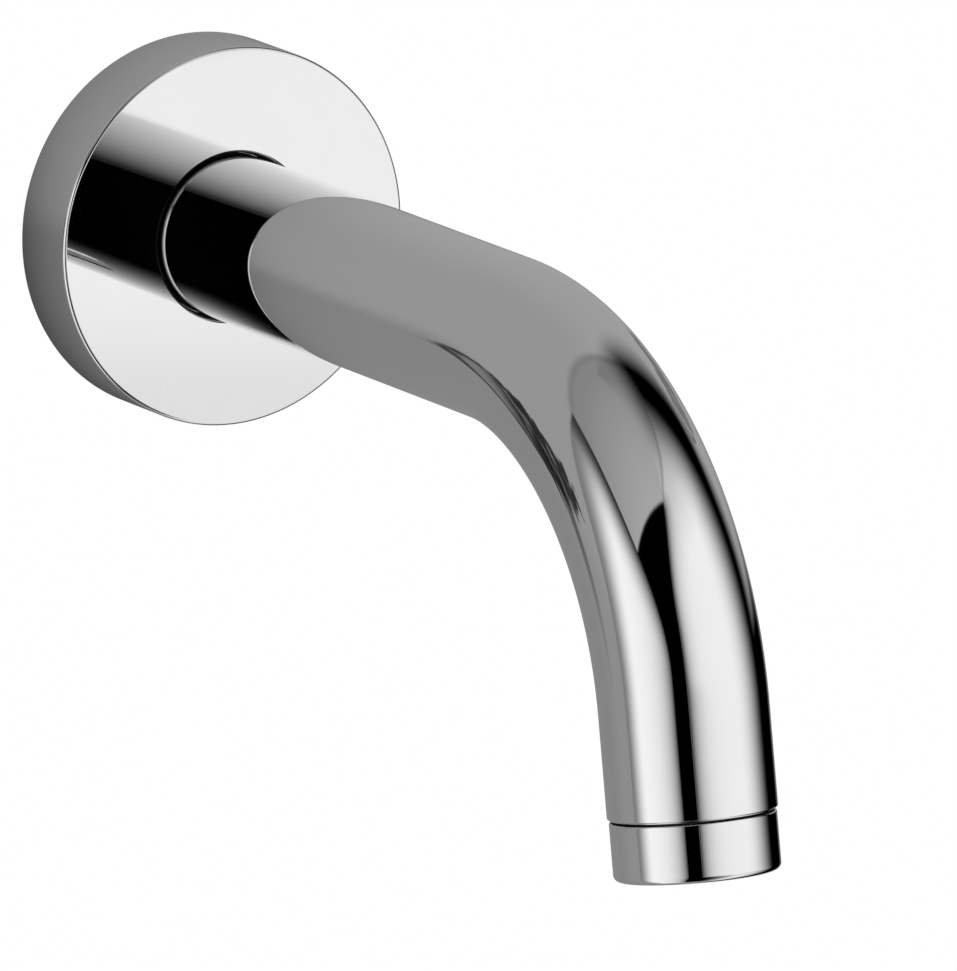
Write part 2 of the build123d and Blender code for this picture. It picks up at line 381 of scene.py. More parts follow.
flag_end = side_end - board.fade(rise, 30, 15) * 10 + board.fade(rise, 0, -8) * 25
side_flag = board.fade(turn, 21.7, 87.5) * board.fade(turn, flag_end + side_fading, flag_end)
side_flag = side_flag * board.blend(share_on_top, 1.0, board.fade(rise, 79, 55))
light = light * (1 - side_flag)
print("right flag ends at", side_end, "degrees")

# %% [markdown]
# The large lamp starts crisply at the front flag. It gets bright within a few degrees, and fades upwards
# and to the right. A dark seam marks its upper edge.

# %% Large lamp
lamp_bright = 1.0
seam_rise = 60.3
seam_turn = 3
seam_drop = 8.3
seam_bend = 22
seam_step = 0.12
seam_depth = 0.3

over_seam = rise - seam_rise + board.math("EXPONENT", (seam_turn - turn) / seam_bend) * seam_drop
lamp_top = board.fade(rise, 66, 30) + inside(-over_seam) * board.fade(turn, 0, 25) * seam_step
main_lamp = board.blend(light, lamp_bright, lamp_top)
lamp_rise = rising(lamp_side, board.fade(rise, 12, 5) * 3 + 8)
main_lamp = main_lamp * board.blend(1.0, lamp_rise, board.fade(rise, 56, 50))
seam = board.fade(size_of(over_seam), 1.6, 0.3) * board.fade(turn, -2, 8)
main_lamp = main_lamp * (1 - seam * seam_depth)
main_share = inside(lamp_side) * board.fade(turn, 90, 40)
print("large lamp up to", seam_rise, "degrees")

# %% [markdown]
# Below the large lamp the tent is open, and the chrome shows the pale floor there. The lamp's foot fades
# out over the opening, and a thin dark cloth across it takes a little of the floor's light.

# %% Opening to the floor
floor_start = -16.0
hem_depth = 0.13

floor_width = board.fade(rise, -14, -20) * 16 + 26
floor_share = squared(board.math("MINIMUM", above(turn, floor_start) / floor_width, 1.0))
lamp_foot = board.math("MAXIMUM", 1 - below, board.fade(rise, -18, -13) * floor_share)
light = board.blend(light, main_lamp, main_share * lamp_foot)
opening = main_share * below * floor_share
hem_shade = board.fade(rise, -11.4, -13.2)
light = light * (1 - hem_shade * opening)
opening = opening * (1 - hem_shade * hem_depth)
print("opening from", floor_start, "degrees")

# %% [markdown]
# Near the horizon at the back the cloths do not quite meet. Two dark gaps slant across there, and a fold
# runs down from the left one. A noise makes the gaps uneven, as gaps between hanging cloths are.

# %% Gaps and a fold at the back
clouds = 30.0
raggedness = 2.5
pale_share = 0.75
mottling = 0.4
left_gap_depth = 0.92
right_gap_depth = 0.55
fold_turn = -130
fold_depth = 0.65

uneven = noise(board, tent_place, clouds, 4.0) - 0.5


def gap(turn_at, rise_at, slope, length, width):
    """A long gap that slants across the tent.

    It is most ragged where the turn is higher, and pale cloth shows in its other end."""
    onward = (turn - turn_at) / length
    across = rise - rise_at - (turn - turn_at) * slope
    away = squared(onward) + squared(across / width) + uneven * board.fade(onward, -1, 0.2) * raggedness
    pale = board.fade(away, 0.85, 0.6) * board.fade(onward, -0.3, -0.75) * pale_share
    mottled = board.fade(uneven, 0.0, 0.16) * mottling
    return board.fade(away, 1.1, 0.85) * (1 - pale) * (1 - mottled)


left_gap = gap(turn_at=-131.2, rise_at=1.2, slope=0.4, length=16.3, width=5.2)
right_gap = gap(turn_at=121, rise_at=12, slope=-0.5, length=14, width=4.5)
light = light * (1 - left_gap * left_gap_depth)
light = light * (1 - right_gap * right_gap_depth)
fold = board.fade(size_of(turn - fold_turn), 5, 1) * board.fade(rise, -14, -4) * board.fade(rise, 3, -3)
light = light * (1 - fold * fold_depth)
print("fold at", fold_turn, "degrees")

# %% [markdown]
# Straight below, where all turns meet, the formula gives way to even cloth. The tent itself is a finely
# divided ball. Mirrors find it by themselves, so it is taken off Cycles' list of lamps, which saves
# render time.

# %% The tent
nadir_tone = 0.3

straight_down = board.fade(rise, -68, -76)
light = board.blend(light, nadir_tone, straight_down)
opening = opening * (1 - straight_down)
glow = board.wire("ShaderNodeEmission", None, {"Color": light, "Strength": 1.0})
see_through(board, glow, opening)
tent_cloth.cycles.emission_sampling = "NONE"

tent_form = bmesh.new()
bmesh.ops.create_icosphere(tent_form, subdivisions=5, radius=tent_radius)
tent_mesh = bpy.data.meshes.new("tent")
tent_form.to_mesh(tent_mesh)
tent_form.free()
tent_mesh.materials.append(tent_cloth)
tent = add_object("tent", tent_mesh)
tent.location = tent_middle


def only_in_reflections(thing):
    """A part of the studio that lights nothing and hides nothing."""
    thing.visible_camera = False
    thing.visible_diffuse = False
    thing.visible_shadow = False
    thing.visible_volume_scatter = False


only_in_reflections(tent)
print("tent", len(tent_mesh.polygons), "faces,", len(board.tree.nodes), "nodes")

# %% [markdown]
# Where the plate meets the wall, the wall lies in its shade, and the plate's rim and the near part of the
# tube mirror that shade. A thin disc in the plane of the wall stands for it. It lets the tent shine
# through, less so close to the plate and under it, and only reflections see it.

# %% The shade on the wall around the plate
plate_radius = 32.5 * mm
shade_reach = 80 * mm
shade_width = 9 * mm
shade_below = 0.7
shade_above = 0.32
shade_sides = 64


def veil(board, dimmed):
    """Ends a veil's material: it takes away a share of the light that comes through."""
    dark = board.wire("ShaderNodeEmission", None, {"Color": (0, 0, 0, 1), "Strength": 0.0})
    see_through(board, dark, 1 - dimmed)


shade, board = blank_material("wall_shade")
x, y, z = board.parts(object_place(board))
beyond = above(board.math("SQRT", squared(x) + squared(z)), plate_radius)
shade_depth = board.blend(shade_below, shade_above, board.fade(z, -6 * mm, 30 * mm))
veil(board, board.math("EXPONENT", beyond / -shade_width) * shade_depth)

shade_mesh = bpy.data.meshes.new("wall_shade")
angles = [tau * number / shade_sides for number in range(shade_sides)]
corners = [(r * cos(angle), 0, r * sin(angle)) for r in (plate_radius, shade_reach) for angle in angles]
pairs = [(number, (number + 1) % shade_sides) for number in range(shade_sides)]
shade_faces = [(near, far, shade_sides + far, shade_sides + near) for near, far in pairs]
shade_mesh.from_pydata(corners, [], shade_faces)
shade_mesh.materials.append(shade)
only_in_reflections(add_object("wall_shade", shade_mesh))
print("wall shade", len(shade_faces), "faces")

# %% [markdown]
# Two pieces of grey gauze hang in front of the plate, one over the tube and one under it. They paint shade
# into the second reflections between plate and tube: they take some light out of them. The upper piece
# gets denser round to the left, and the lower one outwards. Seen from the front both are clear, so the
# rest of the spout does not mirror them.

# %% Gauze over and under the tube
gauze_ahead = 75 * mm
gauze_clear = 0.135
gauze_grading = 0.43
upper_gauze = (-70, 70, 14, 110)
lower_gauze = (-40, 24, -110, -40)

# The gauze is painted shade: a dark veil seen only in reflections near the plate.
shade_gauze, board = blank_material("shade_gauze")
x, y, z = board.parts(object_place(board))
upper = (board.math("ARCTAN2", z, x) * gauze_grading - gauze_clear) * board.fade(z, 15 * mm, 20 * mm)
from_axis = board.math("SQRT", squared(x) + squared(z))
lower = board.fade(from_axis, 46 * mm, 68 * mm) * board.fade(x, 24 * mm, 6 * mm)
dimmed = board.blend(lower, upper, board.math("GREATER_THAN", z, 0.0))
veil(board, dimmed * (1 - board.wire("ShaderNodeNewGeometry", output="Backfacing")))

corners = []
for x_low, x_high, z_low, z_high in (upper_gauze, lower_gauze):
    corners += [(x_high, z_low), (x_low, z_low), (x_low, z_high), (x_high, z_high)]
gauze_mesh = bpy.data.meshes.new("shade_gauze")
gauze_places = [(x * mm, -gauze_ahead, z * mm) for x, z in corners]
gauze_mesh.from_pydata(gauze_places, [], [(0, 1, 2, 3), (4, 5, 6, 7)])
gauze_mesh.materials.append(shade_gauze)
only_in_reflections(add_object("shade_gauze", gauze_mesh))
print("shade_gauze", len(gauze_mesh.polygons), "pieces, facing", list(gauze_mesh.polygons[0].normal))

# %% [markdown]
# ## The finishes
#
# Chrome plating is a mirror with a very fine haze: polishing leaves it a little less sharp in some
# places, and the brass under it is never quite flat. A single roughness would look like a computer
# picture, so a slow noise moves it within a narrow range, and a bump of a few micrometres lets the
# reflections swim slightly. No polishing wheel reaches into a bore or a joint, so each turned piece
# carries an attribute that says where it stayed rough and lies in shade. There the chrome is rougher,
# and its colour is darkened to a painted shade, since bores, joints and the plate's hollow back lie in
# shadow.

# %% Chrome
def surface(board, sockets):
    """Ends a finish: a Principled shader and the material's output."""
    shader = board.wire("ShaderNodeBsdfPrincipled", None, sockets)
    board.node("ShaderNodeOutputMaterial", None, {"Surface": shader})


def shades(board, dark, pale, share):
    """Colours between two shades."""
    ends = [tint if isinstance(tint, Wire) else (*tint, 1) for tint in (dark, pale)]
    sockets = {"Factor": share, 6: ends[0], 7: ends[1]}
    return board.wire("ShaderNodeMix", {"data_type": "RGBA"}, sockets, output=2)


def bump(board, height, distance):
    """A surface raised by a pattern, at most by the distance."""
    return board.wire("ShaderNodeBump", None, {"Strength": 1.0, "Distance": distance, "Height": height})


chrome, board = blank_material("chrome")
place = object_place(board)
haze = noise(board, place, 45, 4)
# This attribute also darkens the colour: painted shade in bores, joints and the plate's hollow back.
unpolished_and_shaded = board.wire("ShaderNodeAttribute", {"attribute_name": "unpolished_and_shaded"}, output="Fac")
polished_tint = shades(board, (0.84, 0.842, 0.846), (0.86, 0.86, 0.86), noise(board, place, 120, 3))
surface(board, {
    "Metallic": 1.0,
    "Base Color": shades(board, polished_tint, (0.14, 0.14, 0.14), unpolished_and_shaded),
    "Roughness": board.fade(haze, 0.3, 0.7) * 0.02 + 0.02 + unpolished_and_shaded * 0.45,
    "Normal": bump(board, noise(board, place, 70, 1), 4 * micrometre),
})
print("chrome:", len(chrome.node_tree.nodes), "nodes")

# %% [markdown]
# Inside the spout there are plainer finishes. The nipple and the seat ring are turned from brass bar and
# show the fine rings of the tool. The seals are black rubber with a dusty, moulded skin. The screens and
# the screw are stainless steel, and the aerator's cartridge is satin acetal.

# %% Brass, rubber, steel and plastic
tool_feed = 0.25 * mm

brass, board = blank_material("bare_brass")
place = object_place(board)
x, y, z = board.parts(place)
tool_rings = board.math("SINE", y * (tau / tool_feed)) * 0.5 + 0.5
tarnish = noise(board, place, 160, 5)
surface(board, {
    "Metallic": 1.0,
    "Base Color": shades(board, (0.60, 0.42, 0.18), (0.80, 0.62, 0.32), tarnish),
    "Roughness": tarnish * 0.18 + 0.2,
    "Normal": bump(board, tool_rings * 0.6 + noise(board, place, 900) * 0.4, 8 * micrometre),
})

# The sleeve's finish: rough chrome whose very dark colour is painted shade in the joint, mottled at random.
dull_chrome, board = blank_material("dull_chrome")
place = object_place(board)
grime_and_shade = noise(board, place, 700, 5)
surface(board, {
    "Metallic": 1.0,
    "Base Color": shades(board, (0.10, 0.10, 0.10), (0.20, 0.20, 0.20), grime_and_shade),
    "Roughness": grime_and_shade * 0.2 + 0.45,
    "Normal": bump(board, grime_and_shade, 10 * micrometre),
})

rubber, board = blank_material("black_rubber")
place = object_place(board)
dust = noise(board, place, 260, 6)
surface(board, {
    "Base Color": shades(board, (0.018, 0.018, 0.019), (0.055, 0.054, 0.052), dust),
    "Roughness": dust * 0.25 + 0.55,
    "Normal": bump(board, noise(board, place, 4000, 3), 20 * micrometre),
})

stainless, board = blank_material("stainless")
place = object_place(board)
drawn = noise(board, place, 1500, 3)
surface(board, {
    "Metallic": 1.0,
    "Base Color": shades(board, (0.48, 0.49, 0.50), (0.64, 0.65, 0.66), drawn),
    "Roughness": drawn * 0.2 + 0.18,
    "Normal": bump(board, drawn, 6 * micrometre),
})


def satin_plastic(name, dark, pale):
    """Moulded plastic with a fine spark-eroded grain."""
    material, board = blank_material(name)
    place = object_place(board)
    grain = noise(board, place, 2500, 2)
    flow = noise(board, place, 140, 4)
    surface(board, {
        "Base Color": shades(board, dark, pale, flow),
        "Roughness": flow * 0.15 + 0.38,
        "Normal": bump(board, grain, 12 * micrometre),
    })
    return material


grey_plastic = satin_plastic("grey_plastic", (0.27, 0.28, 0.30), (0.36, 0.37, 0.39))
white_plastic = satin_plastic("white_plastic", (0.74, 0.75, 0.74), (0.85, 0.86, 0.85))
finishes = {
    "chrome": chrome,
    "dull_chrome": dull_chrome,
    "bare_brass": brass,
    "black_rubber": rubber,
    "stainless": stainless,
    "grey_plastic": grey_plastic,
    "white_plastic": white_plastic,
}
print("finishes:", ", ".join(finishes))

# %% [markdown]
# ## Turning on the lathe
#
# The wall plate, the outlet collar and the nipple are turned pieces, and even the bent tube starts as a
# straight turned bar. Blender could spin a curve or use a Screw modifier. A short function on complex
# numbers is clearer: a corner of the profile is a radius and a distance out of the wall, and a third
# number rounds it with an arc. Each straight run gets an extra point near both ends. Without those,
# smooth shading would bend the flat faces beside a rounded edge, and a mirror shows that at once.

# %% Profiles and turned meshes
hold = 0.06 * mm
sharp_angle = radians(30)


def outline(corners, longest=None, steps=10):
    """The points of a closed profile, with arcs at the rounded corners and points that hold the flat runs.

    A run is divided into pieces of about the length `longest`, or left whole."""
    places = [complex(*corner[:2]) for corner in corners]
    points = []
    for index, corner in enumerate(corners):
        here = places[index]
        if len(corner) == 2:
            points.append(here)
            continue
        before = places[index - 1] - here
        after = places[(index + 1) % len(places)] - here
        before, after = before / abs(before), after / abs(after)
        half = abs(phase(after / before)) / 2
        middle = here + (before + after) / abs(before + after) * corner[2] / sin(half)
        start = here + before * corner[2] / tan(half) - middle
        end = here + after * corner[2] / tan(half) - middle
        points += [middle + start * (end / start) ** (step / steps) for step in range(steps + 1)]
    held = []
    for here, following in zip(points, points[1:] + points[:1]):
        run = abs(following - here)
        along = (following - here) / run
        held.append(here)
        if run > 4 * hold:
            count = max(1, round((run - 2 * hold) / longest)) if longest else 1
            step = (run - 2 * hold) / count
            held += [here + along * (hold + step * number) for number in range(count + 1)]
    return held


def turned(name, points, around, dull_and_shaded=None):
    """Turns a closed profile about the spout's straight axis, which runs out of the wall along -Y.

    The last rule says how far the polish misses a place at a radius and a distance along the axis,
    and how far painted shade darkens it there."""
    form = bmesh.new()
    # The attribute marks where the chrome is rougher and darkened with painted shade.
    unpolished_and_shaded = form.verts.layers.float.new("unpolished_and_shaded")
    rings = []
    for number in range(around):
        angle = tau * number / around
        ring = [form.verts.new((p.real * cos(angle), -p.imag, p.real * sin(angle))) for p in points]
        for vertex, p in zip(ring, points):
            vertex[unpolished_and_shaded] = dull_and_shaded(p.real, p.imag) if dull_and_shaded else 0.0
        rings.append(ring)
    count = len(points)
    for ring, following in zip(rings, rings[1:] + rings[:1]):
        for near in range(count):
            far = (near + 1) % count
            form.faces.new((ring[near], ring[far], following[far], following[near]))
    bmesh.ops.recalc_face_normals(form, faces=form.faces)
    mesh = bpy.data.meshes.new(name)
    form.to_mesh(mesh)
    form.free()
    mesh.shade_smooth()
    mesh.set_sharp_from_angle(angle=sharp_angle)
    return add_object(name, mesh)


def in_metres(corners):
    """Corners that are given in millimetres."""
    return [tuple(number * mm for number in corner) for corner in corners]


def finish_piece(piece, slot, *replaced):
    """Says which finish and which CAD nodes a piece stands for."""
    if not piece.data.materials:
        piece.data.materials.append(finishes[slot])
    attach(piece, "root")
    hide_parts(*replaced)
    print(piece.name, len(piece.data.polygons), "faces, for", ", ".join(replaced))


# %% [markdown]
# ## The wall plate
#
# The plate is a shallow cup: a flat mirror in front, a straight rim with a small round at its edge, and a
# hollow back with a hub that grips the tube through a rubber ring. It is one turned profile. The hollow
# back is plated but only satin, and the hub's bore is dull. Both are also darkened with painted shade, half
# in the hollow back and fully in the bore, where they lie in shadow.

# %% Wall plate
plate_depth = 15 * mm
plate_front_round = 0.6 * mm
plate_back_round = 0.4 * mm
plate_bore = 14.45 * mm
bore_chamfer = 0.4 * mm
groove_radius = 16 * mm
groove_back, groove_front = 10.6 * mm, 13.2 * mm
hub_radius = 18 * mm
hub_back = 9.2 * mm
cup_radius = 29.5 * mm
cup_floor = 12.5 * mm
cup_round = 1.0 * mm
seal_radius = 31 * mm
seal_depth = 1.8 * mm


def plate_dull_and_shaded(radius, along):
    """The bore is rough and darkened with painted shade, and the hollow back half so."""
    if radius < plate_bore + 0.05 * mm:
        return 1.0
    in_hollow = radius < seal_radius - 0.02 * mm and along < cup_floor + 0.5 * mm
    return 0.5 if in_hollow else 0.0


plate = turned("wall_plate", outline([
    (seal_radius, 0),
    (plate_radius, 0, plate_back_round),
    (plate_radius, plate_depth, plate_front_round),
    (plate_bore + bore_chamfer, plate_depth),
    (plate_bore, plate_depth - bore_chamfer),
    (plate_bore, groove_front),
    (groove_radius, groove_front),
    (groove_radius, groove_back),
    (plate_bore, groove_back),
    (plate_bore, hub_back),
    (hub_radius, hub_back),
    (hub_radius, cup_floor, cup_round),
    (cup_radius, cup_floor, cup_round),
    (cup_radius, seal_depth),
    (seal_radius, seal_depth),
]), around=256, dull_and_shaded=plate_dull_and_shaded)
finish_piece(plate, "chrome", "wall_escutcheon")

# %% [markdown]
# ## The bent tube
#
# A maker turns or draws a straight tube, then bends it round a former. The same two steps work here: the
# tube is turned straight, and a Geometry Nodes tree carries every point round the bend. A point that lies
# `along` the straight axis first runs out of the wall, then round the former, then on down the outlet.
# Because the rule also works beyond the tube's end, the collar and the honeycomb are made straight and go
# through the same tree.

# %% A tree that bends whatever lies along the spout
straight_reach = 106.5 * mm
bend_radius = 60 * mm
bend_angle = radians(81)
straight_outlet = 17 * mm
tube_end = straight_reach + bend_radius * bend_angle + straight_outlet


class Tree(Board):
    """A Geometry Nodes tree with named inputs."""

    def __init__(self, name):
        super().__init__(bpy.data.node_groups.new(name, "GeometryNodeTree"))
        self.tree.interface.new_socket("Geometry", in_out="OUTPUT", socket_type="NodeSocketGeometry")
        self.entry = self.tree.nodes.new("NodeGroupInput")
        self.identifiers = {}

    def input(self, name, kind="NodeSocketFloat"):
        socket = self.tree.interface.new_socket(name, in_out="INPUT", socket_type=kind)
        self.identifiers[name] = socket.identifier
        return Wire(self, self.entry.outputs[name])

    def join(self, *geometries):
        """Puts several geometries together."""
        joined = self.node("GeometryNodeJoinGeometry")
        for geometry in geometries:
            self.tree.links.new(geometry.socket, joined.inputs[0])
        return Wire(self, joined.outputs[0])

    def end(self, geometry):
        """Realizes the instances, gives the finish and closes the tree."""
        material = self.input("Finish", "NodeSocketMaterial")
        real = self.wire("GeometryNodeRealizeInstances", None, {0: geometry})
        dressed = self.wire("GeometryNodeSetMaterial", None, {"Geometry": real, "Material": material})
        self.node("NodeGroupOutput", None, {0: dressed})

    def apply(self, piece, values):
        """Runs the tree on a piece and keeps the result as a plain mesh."""
        modifier = piece.modifiers.new(self.tree.name, "NODES")
        modifier.node_group = self.tree
        for name, value in values.items():
            modifier[self.identifiers[name]] = value
        settle(piece)


def settle(piece):
    """Turns a piece with its modifiers into a plain mesh."""
    graph = bpy.context.evaluated_depsgraph_get()
    shaped = piece.evaluated_get(graph)
    mesh = bpy.data.meshes.new_from_object(shaped, preserve_all_data_layers=True, depsgraph=graph)
    piece.modifiers.clear()
    piece.data = mesh
    mesh.name = piece.name


def bend_tree():
    tree = Tree("bend_round_former")
    geometry = tree.input("Geometry", "NodeSocketGeometry")
    reach = tree.input("Straight reach")
    radius = tree.input("Bend radius")
    angle = tree.input("Bend angle")
    x, y, z = tree.parts(tree.wire("GeometryNodeInputPosition"))
    along = -y
    lead = tree.math("MINIMUM", along, reach)
    turned_by = tree.math("MINIMUM", tree.math("MAXIMUM", (along - reach) / radius, 0.0), angle)
    rest = tree.math("MAXIMUM", along - reach - radius * angle, 0.0)
    sine = tree.math("SINE", turned_by)
    cosine = tree.math("COSINE", turned_by)
    out = lead + (radius + z) * sine + rest * cosine
    level = (radius + z) * cosine - radius - rest * sine
    bent = {"Geometry": geometry, "Position": tree.vector(x, -out, level)}
    tree.end(tree.wire("GeometryNodeSetPosition", None, bent))
    return tree


bending = bend_tree()


def bend(piece, slot):
    """Carries a straight piece round the spout's bend."""
    bending.apply(piece, {
        "Straight reach": straight_reach,
        "Bend radius": bend_radius,
        "Bend angle": bend_angle,
        "Finish": finishes[slot],
    })


print("bend tree:", len(bending.tree.nodes), "nodes, tube end", round(tube_end / mm, 2), "mm along")

# %% [markdown]
# The tube's profile has its real wall, the wider thread at the outlet and the small chamfers at both
# ends. The hole for the grub screw is cut afterwards with a Boolean modifier. It lies under the wall
# plate.

# %% Tube
tube_radius = 14.0 * mm
tube_bore = 11.5 * mm
outlet_thread_radius = 12.0 * mm
outlet_thread_depth = 12 * mm
end_chamfer = 0.3 * mm
tube_start = 1.0 * mm


def tube_dull_and_shaded(radius, along):
    """The bore and the end faces are rougher and darkened with painted shade."""
    return 1.0 if radius < tube_radius - end_chamfer - 0.03 * mm else 0.0


tube = turned("bent_tube", outline([
    (tube_bore, tube_start),
    (tube_radius - end_chamfer, tube_start),
    (tube_radius, tube_start + end_chamfer),
    (tube_radius, tube_end - end_chamfer),
    (tube_radius - end_chamfer, tube_end),
    (outlet_thread_radius, tube_end),
    (outlet_thread_radius, tube_end - outlet_thread_depth),
    (tube_bore, tube_end - outlet_thread_depth),
], longest=1.5 * mm), around=192, dull_and_shaded=tube_dull_and_shaded)
bend(tube, "chrome")


def cut(piece, sides, radius, start, end):
    """Cuts a straight hole, round or with flat sides, between two points."""
    form = bmesh.new()
    axis = end - start
    place = Matrix.Translation((start + end) / 2) @ axis.to_track_quat("Z", "X").to_matrix().to_4x4()
    bmesh.ops.create_cone(
        form, cap_ends=True, segments=sides, radius1=radius, radius2=radius,
        depth=axis.length, matrix=place)
    mesh = bpy.data.meshes.new("cutter")
    form.to_mesh(mesh)
    form.free()
    cutter = add_object("cutter", mesh)
    modifier = piece.modifiers.new("hole", "BOOLEAN")
    modifier.operation = "DIFFERENCE"
    modifier.object = cutter
    settle(piece)
    bpy.data.objects.remove(cutter)


screw_hole_radius = 2.05 * mm
hole_top = Vector((0, -5.5, -10)) * mm
hole_bottom = Vector((0, -5.5, -18)) * mm
cut(tube, 32, screw_hole_radius, hole_top, hole_bottom)
finish_piece(tube, "chrome", "spout_tube")

# %% [markdown]
# ## The outlet collar
#
# The collar screws into the tube and leaves a joint of less than half a millimetre, which is the thin
# dark line near the outlet. It is a shade narrower than the tube, and its lower edge is rounded.

# %% Outlet collar
collar_radius = 13.75
collar_bore = 10.42
collar_end = 10.1
collar_chamfer = 0.5
joint_width = 0.4
joint_round = 0.3
collar_round = 1.1


def at_outlet(corners):
    """Corners in millimetres, whose distances start at the tube's end."""
    return [(radius, tube_end + along, *rounding) for radius, along, *rounding in in_metres(corners)]


def collar_dull_and_shaded(radius, along):
    """The face in the joint and the bore are rougher and darkened with painted shade."""
    in_joint = radius < (collar_radius - 0.33) * mm and along < tube_end + (joint_width + 0.05) * mm
    return 1.0 if in_joint or radius < (collar_bore + 0.08) * mm else 0.0


collar = turned("outlet_collar", outline(at_outlet([
    (collar_bore, joint_width),
    (collar_radius, joint_width, joint_round),
    (collar_radius, collar_end, collar_round),
    (collar_bore + collar_chamfer, collar_end),
    (collar_bore, collar_end - collar_chamfer),
])), around=192, dull_and_shaded=collar_dull_and_shaded)
bend(collar, "chrome")
finish_piece(collar, "chrome", "aerator_housing")

# %% [markdown]
# ## Threads
#
# A thread is a groove that climbs one pitch in each turn. A lathe cuts it into a plain bar, and so does
# this tree: the bar is turned with a fine row of points, and the tree moves each point in by a wave. The
# wave starts and ends softly, as a cut thread does. The same tree makes both threads of the spout.

# %% A tree that cuts a thread
def thread_tree():
    tree = Tree("cut_thread")
    geometry = tree.input("Geometry", "NodeSocketGeometry")
    pitch = tree.input("Pitch")
    depth = tree.input("Depth")
    crest = tree.input("Crest radius")
    near = tree.input("Near end")
    far = tree.input("Far end")
    x, y, z = tree.parts(tree.wire("GeometryNodeInputPosition"))
    radius = tree.math("SQRT", x * x + z * z)
    wave = tree.math("COSINE", y / pitch * tau - tree.math("ARCTAN2", x, z)) * 0.5 + 0.5
    ends = tree.fade(y, near, near + pitch) * tree.fade(y, far + pitch * 0.5, far - pitch * 0.5)
    over_root = tree.math("GREATER_THAN", radius, crest - depth * 0.9)
    on_thread = over_root * tree.math("LESS_THAN", radius, crest * 1.01)
    inward = 1 - wave * ends * on_thread * depth / radius
    cut_in = {"Geometry": geometry, "Position": tree.vector(x * inward, y, z * inward)}
    tree.end(tree.wire("GeometryNodeSetPosition", None, cut_in))
    return tree


threading = thread_tree()
print("thread tree:", len(threading.tree.nodes), "nodes")

# %% [markdown]
# The collar's sleeve carries the M24 x 1 thread of every common aerator. Nobody polishes a thread, so the
# sleeve is rough. Its very dark colour is painted shade, as the sleeve lies in the shadow of the joint, and
# that is what makes the joint a dark line.

# %% Threaded sleeve of the collar
sleeve_radius = 11.92
sleeve_start = -8.0
sleeve_chamfer = 0.3
row_step = 0.1

sleeve_rows = [(sleeve_radius, sleeve_start + sleeve_chamfer + row_step * row) for row in range(78)]
sleeve = turned("collar_sleeve", outline(at_outlet([
    (collar_bore, sleeve_start),
    (sleeve_radius - sleeve_chamfer, sleeve_start),
    *sleeve_rows,
    (sleeve_radius, joint_width),
    (collar_bore, joint_width),
])), around=144)
threading.apply(sleeve, {
    "Pitch": 1.0 * mm,
    "Depth": 0.6 * mm,
    "Crest radius": sleeve_radius * mm,
    "Near end": -tube_end + 0.2 * mm,
    "Far end": -tube_end + 7.2 * mm,
    "Finish": dull_chrome,
})
bend(sleeve, "dull_chrome")
finish_piece(sleeve, "chrome", "aerator_housing")

# %% [markdown]
# The inlet thread is a G1/2 pipe thread: 14 turns to the inch, with rounded crests and roots.

# %% Nipple with a pipe thread
inch = 25.4
turns_per_inch = 14
waterway = 5.5
inlet_radius = 10.4775
inlet_tip, thread_start, thread_end = -17.6, -16.6, -4.6
tip_chamfer = 1.0
relief_radius = 9.1775
flange_radius = 13.5275
flange_back, flange_front = -2.0, 1.0
stub_radius = 11.45
screw_seat_radius = 9.55
ring_seat_radius = 9.5
stub_end = 27.0
stub_chamfer = 0.8
key_flats = 12 * mm
pipe_row_step = 0.12

thread_rows = [(inlet_radius, thread_start + pipe_row_step * row) for row in range(101)]
nipple = turned("inlet_nipple", outline(in_metres([
    (waterway, inlet_tip),
    (inlet_radius - tip_chamfer, inlet_tip),
    *thread_rows,
    (relief_radius, thread_end),
    (relief_radius, flange_back),
    (flange_radius, flange_back),
    (flange_radius, flange_front),
    (stub_radius, flange_front),
    (stub_radius, 2.9),
    (screw_seat_radius, 4.8),
    (screw_seat_radius, 6.2),
    (stub_radius, 8.1),
    (stub_radius, 15.8),
    (ring_seat_radius, 15.8),
    (ring_seat_radius, 18.4),
    (stub_radius, 18.4),
    (stub_radius, 21.4),
    (ring_seat_radius, 21.4),
    (ring_seat_radius, 24.0),
    (stub_radius, 24.0),
    (stub_radius, stub_end - stub_chamfer),
    (stub_radius - stub_chamfer, stub_end),
    (waterway, stub_end),
])), around=144)
threading.apply(nipple, {
    "Pitch": inch / turns_per_inch * mm,
    "Depth": 1.162 * mm,
    "Crest radius": inlet_radius * mm,
    "Near end": -thread_end * mm,
    "Far end": -thread_start * mm,
    "Finish": brass,
})
cut(nipple, 6, key_flats / sqrt(3), Vector((0, -15, 0)) * mm, Vector((0, -28, 0)) * mm)
finish_piece(nipple, "bare_brass", "wall_nipple")

# %% [markdown]
# ## The honeycomb
#
# The last piece that the water meets is a moulded honeycomb, which calms the stream. Its mould is a block
# with one pin per cell. The tree does the same: it sets points on a triangular grid, drops those too near
# to the rim, puts a six-sided pin on each and cuts the pins out of a disc with one Boolean. A pin is
# wider at both ends, so that every cell gets a small bevel, as a moulded edge has.

